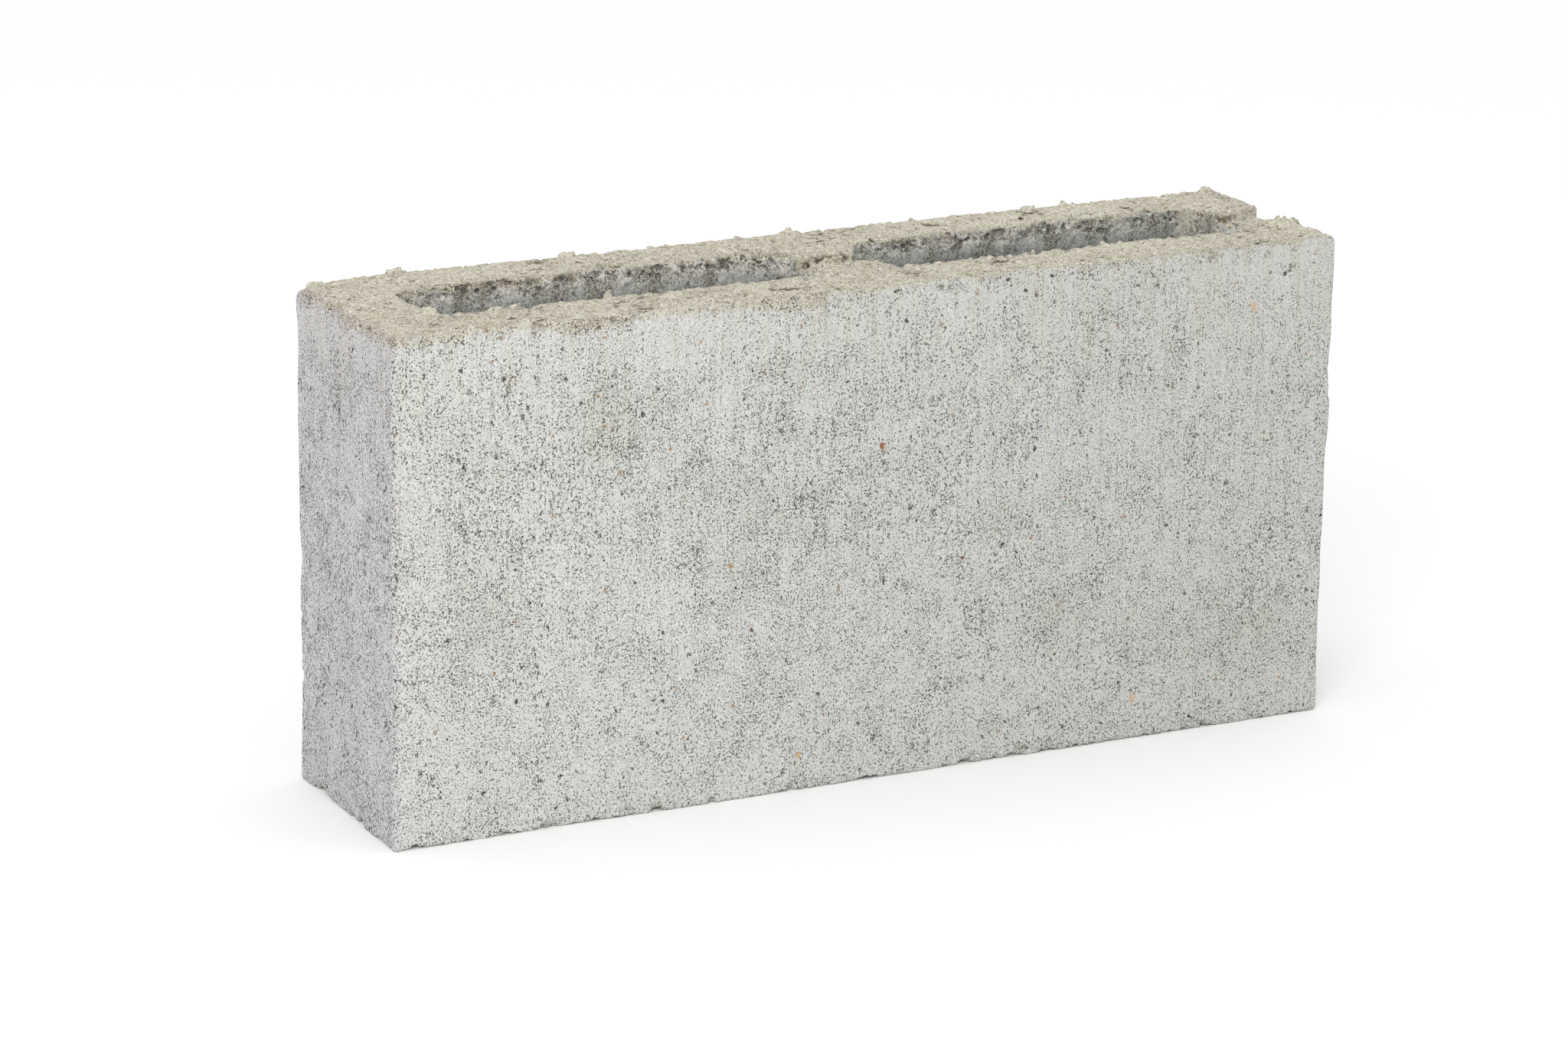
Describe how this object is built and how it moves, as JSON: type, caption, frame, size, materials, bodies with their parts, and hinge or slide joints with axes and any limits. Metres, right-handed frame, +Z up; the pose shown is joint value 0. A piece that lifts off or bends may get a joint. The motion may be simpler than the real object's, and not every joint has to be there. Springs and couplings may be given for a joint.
{
  "type": "hollow concrete block",
  "caption": "Rectangular hollow concrete masonry block with through cores, one plain end and one end with a full-height mortar groove.",
  "frame": {"origin": "centre of the bottom bed face, which is the face the block was cast and stands on", "axes": "+X along the length towards the grooved end, +Y through the thickness, +Z up towards the struck top bed face"},
  "size_m": [0.39, 0.09, 0.19],
  "materials": {
    "concrete": "dry-pressed concrete, as struck from the mould: matt, open-pored, pale grey, with a buff sandy top"
  },
  "bodies": {
    "root": {"hollow_block": "concrete"}
  },
  "joints": []
}
